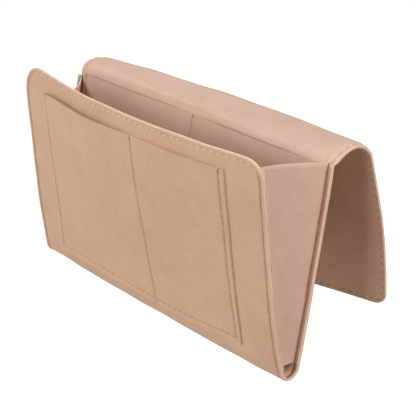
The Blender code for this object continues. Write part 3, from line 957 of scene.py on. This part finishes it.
# Pockets
class Pocket:
    """A panel of felt sewn to the strip at its sides, its bottom and a middle seam.

    low and high count upwards, and spot_of turns x and such a level into x and a place on the strip. side is
    -1 outside the strip or 1 inside, and base is how far its inner face stands from the shell's own face.
    shares are how much of the gape the two parts of its mouth have.
    """

    def __init__(self, name, body, side, base, spot_of, left, seam, right, low, high, shares=(1, 1)):
        self.name, self.motion, self.side, self.base, self.spot_of = name, riding(body), side, base, spot_of
        self.left, self.seam, self.right, self.low, self.high = left, seam, right, low, high
        self.inner_left, self.inner_right = left + POCKET_INSET, right - POCKET_INSET
        self.corner, self.shares = low + POCKET_INSET, shares

    def frame(self, x, level):
        """Points on the strip behind the pocket, and the way from there to the pocket."""
        points, ways = strip_frame(*self.spot_of(x, level))
        return points, ways * self.side

    def open_share(self, x, level):
        """Share of the gape: nothing at the seams, most at the mouth."""
        rise = np.clip((level - self.low) / (self.high - self.low), 0, 1)
        first = np.clip((x - self.left) / (self.seam - self.left), 0, 1)
        second = np.clip((x - self.seam) / (self.right - self.seam), 0, 1)
        mouth = self.shares[0] * np.sin(np.pi * first ** MOUTH_SKEW)
        return (mouth + self.shares[1] * np.sin(np.pi * second)) * rise ** MOUTH_POWER

    def stand(self, x, level):
        return self.base + POCKET_GAPE * self.open_share(x, level)

    def build_panel(self, node, material):
        x = stations(self.left, self.right, POCKET_COLUMNS, seams=(self.seam,))[:, None]
        level = stations(self.low, self.high, POCKET_ROWS)[None, :]
        x, level = x + 0 * level, level + 0 * x
        points, ways = self.frame(x, level)
        points = points + scaled(ways, self.stand(x, level))
        beside, below, above = np.minimum(x - self.left, self.right - x), level - self.low, self.high - level
        sewn = np.minimum(beside, below)
        edge = np.minimum(sewn, above)
        gap_edge, gap_seam = np.abs(sewn - POCKET_INSET), np.abs(x - self.seam)
        run_right = self.inner_right - self.inner_left + level - self.corner
        run_side = np.where(x < self.seam, self.corner - level, run_right)
        run = np.where(below < beside, x - self.inner_left, run_side)
        run = np.where(gap_seam < gap_edge, level - self.low, run)
        sunk = mixed(POCKET_SUNK_LEFT, POCKET_SUNK_RIGHT, x)
        marks = marks_of(edge, np.minimum(gap_edge, gap_seam), run, sunk)
        # Shade painted inside the pocket's mouth, strongest where it gapes most
        dark = self.open_share(x, self.high) * np.clip(1 - above / MOUTH_SHADE, 0, 1)
        marks["edge_highlight_mouth_shade"] = np.where(above < MOUTH_SHADE, -dark, marks["edge_highlight_mouth_shade"])
        furrow = groove(gap_edge, POCKET_GROOVE) + groove(gap_seam, POCKET_GROOVE) - puff(sewn, POCKET_INSET)
        piece = solid_sheet(self.name, points, ways, -POCKET_SINK, FELT - rounding(edge) - furrow, marks,
                            material)
        declare(piece, [node], self.motion)

    def build_threads(self):
        rise = np.linspace(self.corner, self.high - SEAM_END, POCKET_SEAM_STEPS)
        fall = rise[::-1]
        level_run = np.linspace(self.inner_left, self.inner_right, 2 * POCKET_SEAM_STEPS)[1:-1]
        edge_x = np.concatenate([0 * fall + self.inner_left, level_run, 0 * rise + self.inner_right])
        edge_level = np.concatenate([fall, 0 * level_run + self.corner, rise])
        last_run = self.inner_right - self.inner_left + rise - self.corner
        edge_run = np.concatenate([self.corner - fall, level_run - self.inner_left, last_run])
        paths = (("_edge", edge_x, edge_level, edge_run),
                 ("_seam", 0 * rise + self.seam, rise, rise - self.low))
        for label, x, level, run in paths:
            points, ways = self.frame(x, level)
            points = points + scaled(ways, self.stand(x, level) + FELT - GROOVE_DEPTH)
            thread_piece("thread_" + self.name + label, points, ways, run, self.motion, POCKET_THREAD_SUNK)

    def build_bartacks(self):
        offsets = np.linspace(-0.5, 0.5, BARTACK_STEPS)
        for label, x in (("_left", self.inner_left), ("_seam", self.seam), ("_right", self.inner_right)):
            for k in range(BARTACK_STITCHES):
                level = self.high - BARTACK_DROP - k * BARTACK_GAP
                points, ways = self.frame(x + offsets * BARTACK_LENGTH, level)
                points = points + ways * (self.stand(x, level) + FELT - BARTACK_SINK)
                name = "bartack_" + self.name + label + "_" + str(k + 1)
                thread_piece(name, points, ways, offsets * STITCH_PITCH, self.motion, BARTACK_SUNK)


def front_pocket_spot(x, level):
    """The front pocket leans right upwards, dips at its top left corner and is lifted at its lower right."""
    across = (x - FRONT_POCKET_LEFT) / (FRONT_POCKET_RIGHT - FRONT_POCKET_LEFT)
    past_seam = np.clip((x - FRONT_POCKET_SEAM) / (FRONT_POCKET_RIGHT - FRONT_POCKET_SEAM), 0, None)
    up = level / FRONT_POCKET_TOP
    dip = FRONT_POCKET_DIP_LEFT * np.clip(1 - across / FRONT_POCKET_DIP_SHARE, 0, 1) ** 2 * up
    lift = FRONT_POCKET_LIFT_RIGHT * past_seam ** FRONT_POCKET_LIFT_POWER * (1 - up)
    return x + FRONT_POCKET_SHIFT * up, FRONT_LENGTH - level + dip - lift


def inner_pocket_spot(x, level):
    """The inner pocket's top follows the bend, which is higher at its left end, and dips in its middle."""
    lift = INNER_POCKET_LIFT_LEFT * (1 - share(x)) ** 2 * level / INNER_POCKET_TOP
    lift = lift - INNER_POCKET_DIP * np.sin(np.pi * share(x)) * level / INNER_POCKET_TOP
    return x, WALL_FOOT + level + lift


def build_pockets():
    front = Pocket("front_pocket", "front", -1, TOUCH, front_pocket_spot, FRONT_POCKET_LEFT,
                   FRONT_POCKET_SEAM, FRONT_POCKET_RIGHT, FRONT_POCKET_BOTTOM, FRONT_POCKET_TOP,
                   FRONT_GAPE_SHARES)
    inner = Pocket("inner_pocket", "back", 1, LAYERS + TOUCH, inner_pocket_spot, INNER_POCKET_LEFT,
                   INNER_POCKET_SEAM, INNER_POCKET_RIGHT, INNER_POCKET_LOW, INNER_POCKET_TOP)
    for pocket, material in ((front, SHELL), (inner, INNER)):
        pocket.build_panel(pocket.name + "_panel", material)
        pocket.build_threads()
        pocket.build_bartacks()


# Gussets
GUSSET_RISE = np.linspace(0, 1, GUSSET_ROWS)


def gusset_line(side, wall, fit, inset):
    """Points up one wall's lining, inset from the gusset's own edge."""
    drop, overhang = fit[0], fit[2]
    x = side * (HALF - inset + overhang)
    if wall == "front":
        top = max(drop, float(corner_loss(x, front_corner(x))) + TOUCH)
        place = FRONT_LENGTH - GUSSET_LOW - (FRONT_LENGTH - top - GUSSET_LOW) * GUSSET_RISE
    else:
        place = WALL_FOOT + GUSSET_LOW + (BACK_LENGTH - drop - GUSSET_LOW) * GUSSET_RISE
    points, ways = strip_frame(x + 0 * GUSSET_RISE, place)
    return points + ways * (LAYERS + TOUCH - 2 * pressed(inset))


def curved(start, middle, end, rows):
    """Rows of points that curve from start to end, pulled towards middle, without the first."""
    shares = np.linspace(0, 1, rows)[1:]
    return [start * (1 - q) ** 2 + middle * 2 * q * (1 - q) + end * q ** 2 for q in shares]


def build_gusset_half(name, side, wall, toward, fit, corner, crease, span):
    """The flange that is sewn to one wall, and the web from there to the crease."""
    seam = fit[1] + FELT
    turn = min(GUSSET_TURN, seam - GUSSET_LEAST_MARGIN)
    soft_crease = crease - span * toward / 4
    leaf_start = corner + unit(soft_crease - corner) * turn
    insets = np.append(EDGE_OFFSETS[EDGE_OFFSETS < seam - turn - GUSSET_ROW_GAP], seam - turn)
    grid = [gusset_line(side, wall, fit, inset) for inset in insets]
    grid.extend(curved(grid[-1], corner, leaf_start, GUSSET_TURN_ROWS))
    grid.extend(curved(leaf_start, soft_crease, crease, GUSSET_WEB_ROWS))
    points = np.array(grid)
    ways = unit(np.cross(np.gradient(points, axis=0), np.gradient(points, axis=1))) * toward * side
    ways[-1] = (side, 0, 0)
    steps = np.linalg.norm(np.diff(points, axis=0), axis=2)
    across = np.concatenate([np.zeros((1, GUSSET_ROWS)), steps.cumsum(axis=0)])
    height = np.linalg.norm(np.diff(points, axis=1), axis=2).cumsum(axis=1)
    height = np.concatenate([np.zeros((len(points), 1)), height], axis=1)
    edge = np.minimum(across, np.minimum(height, height[:, -1:] - height))
    gap = np.abs(across - STITCH_INSET)
    piece = solid_sheet(name, points, ways, 0, FELT - pressed(across) - groove(gap) - rounding(edge),
                        marks_of(edge, gap, height, 1), GUSSET)
    half_body = name + "_half"
    middle = GUSSET_ROWS // 2

    def motion(piece):
        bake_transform(piece)
    declare(piece, (half_body, name + "_flange"), motion)
    row = int(np.argmin(gap[:, middle]))
    raised = points[row] + ways[row] * (FELT - MARGIN_PRESS - GROOVE_DEPTH)
    thread_piece("thread_" + name, raised, ways[row], height[row], motion, SIDE_SUNK)


def build_gusset(label, side, depth, fits, dip):
    """Two halves of a gusset, whose crease stands in by depth times half its span and dips at its top.

    fits has, for each wall, how far the gusset's top lies below the wall's, how far in from its own edge the
    web turns off the flange, and how far the flange stands past the wall's edge.
    """
    corners = {wall: gusset_line(side, wall, fit, fit[1] + FELT) for wall, fit in fits.items()}
    span = corners["back"] - corners["front"]
    crease = (corners["front"] + corners["back"]) / 2
    crease[:, 0] -= side * depth * np.linalg.norm(span, axis=1) / 2
    crease[:, 2] -= dip * GUSSET_RISE ** GUSSET_DIP_POWER
    for wall, toward in (("front", 1), ("back", -1)):
        name = label + "_gusset_" + wall
        build_gusset_half(name, side, wall, toward, fits[wall], corners[wall], crease, span)


def build_gussets():
    right = {"front": (GUSSET_FRONT_DROP_RIGHT, GUSSET_INSET, 0),
             "back": (GUSSET_BACK_DROP_RIGHT, GUSSET_INSET_BACK_RIGHT, 0)}
    left = {"front": (GUSSET_FRONT_DROP_LEFT, GUSSET_INSET, 0),
            "back": (GUSSET_BACK_DROP_LEFT, GUSSET_INSET, GUSSET_OVERHANG_LEFT)}
    build_gusset("right", 1, GUSSET_DEPTH_RIGHT, right, 0)
    build_gusset("left", -1, GUSSET_DEPTH_LEFT, left, GUSSET_DIP_LEFT)


build_strip()
build_front_seams()
build_wall_seams()
build_flap_seams()
build_pockets()
build_gussets()


# Floor, light and camera
CAMERA_AZIMUTH = math.radians(48.839)
CAMERA_ELEVATION = math.radians(23.261)
CAMERA_PLACE = Vector((0.6613, -0.5652, 0.2866))
CAMERA_LIFT = 0.9 * MM
CAMERA_LENS = 94.33
SENSOR = 36
FLOOR_DROP = 0.45
FLOOR_SIZE = 4.0
FLOOR_COLOUR = (0.6, 0.6, 0.6, 1)
FLOOR_ROUGHNESS = 0.9
FLOOR_WHITE_SHARE = 0.85
WHITE = (1, 1, 1, 1)
WORLD_COLOUR = (1.0, 0.99, 0.975, 1)
WORLD_STRENGTH = 0.05
LIGHT_DISTANCE = 2.2

# Name, azimuth and elevation in degrees, size in metres and power in watts of each light
LIGHTS = (("key_light", -28, 32, 1.4, 34), ("front_light", 14, 20, 0.5, 11), ("fill_light", 97, 28, 1.2, 36),
          ("back_light", 200, 60, 1.6, 12))


def ray_seen(nodes, links):
    """1 for the rays by which the camera sees a surface, directly or in gloss or glass."""
    path = nodes.new("ShaderNodeLightPath")
    seen = path.outputs["Is Camera Ray"]
    for kind in ("Is Glossy Ray", "Is Transmission Ray"):
        either = nodes.new("ShaderNodeMath")
        either.operation = "MAXIMUM"
        links.new(seen, either.inputs[0])
        links.new(path.outputs[kind], either.inputs[1])
        seen = either.outputs[0]
    return seen


def build_floor():
    mesh = bpy.data.meshes.new("floor")
    low = float(cad_bounds[0][2]) - FLOOR_DROP
    s = FLOOR_SIZE
    mesh.from_pydata([(-s, -s, low), (s, -s, low), (s, s, low), (-s, s, low)], [], [(0, 1, 2, 3)])
    floor = placed("floor", mesh)
    material = bpy.data.materials.new("pale_floor")
    material.use_nodes = True
    nodes, links = material.node_tree.nodes, material.node_tree.links
    shader = nodes["Principled BSDF"]
    socket(shader, "Base Color", FLOOR_COLOUR)
    socket(shader, "Roughness", FLOOR_ROUGHNESS)
    white = nodes.new("ShaderNodeMath")
    white.operation = "MULTIPLY"
    links.new(ray_seen(nodes, links), white.inputs[0])
    white.inputs[1].default_value = FLOOR_WHITE_SHARE
    socket(shader, "Emission Color", WHITE)
    links.new(white.outputs[0], shader.inputs["Emission Strength"])
    mesh.materials.append(material)


def build_world():
    world = bpy.data.worlds.new("studio")
    world.use_nodes = True
    bpy.context.scene.world = world
    nodes, links = world.node_tree.nodes, world.node_tree.links
    light = nodes["Background"]
    socket(light, "Color", WORLD_COLOUR)
    socket(light, "Strength", WORLD_STRENGTH)
    white = nodes.new("ShaderNodeBackground")
    socket(white, "Color", WHITE)
    socket(white, "Strength", 1.0)
    mix = nodes.new("ShaderNodeMixShader")
    links.new(ray_seen(nodes, links), mix.inputs["Fac"])
    links.new(light.outputs["Background"], mix.inputs[1])
    links.new(white.outputs["Background"], mix.inputs[2])
    links.new(mix.outputs["Shader"], nodes["World Output"].inputs["Surface"])


def bearing(a, e):
    """Way from the object to an azimuth, 0 on the front's side and a quarter turn on the right."""
    return Vector((math.sin(a) * math.cos(e), -math.cos(a) * math.cos(e), math.sin(e)))


def area_light(name, azimuth, elevation, size, power):
    """A square light that shines on the object."""
    way = bearing(math.radians(azimuth), math.radians(elevation))
    data = bpy.data.lights.new(name, "AREA")
    data.shape = "SQUARE"
    data.size = size
    data.energy = power
    lamp = placed(name, data)
    lamp.location = way * LIGHT_DISTANCE
    lamp.rotation_euler = way.to_track_quat("Z", "Y").to_euler()


def build_camera():
    back = bearing(CAMERA_AZIMUTH, CAMERA_ELEVATION)
    right = Vector((math.cos(CAMERA_AZIMUTH), math.sin(CAMERA_AZIMUTH), 0))
    up = back.cross(right)
    data = bpy.data.cameras.new("camera")
    data.lens = CAMERA_LENS
    data.sensor_width = SENSOR
    camera = placed("camera", data)
    turn = Matrix((right, up, back)).transposed().to_4x4()
    camera.matrix_world = Matrix.Translation(CAMERA_PLACE + up * CAMERA_LIFT) @ turn
    bpy.context.scene.camera = camera


build_floor()
build_world()
for light in LIGHTS:
    area_light(*light)
build_camera()
bpy.context.scene.view_settings.view_transform = "Standard"
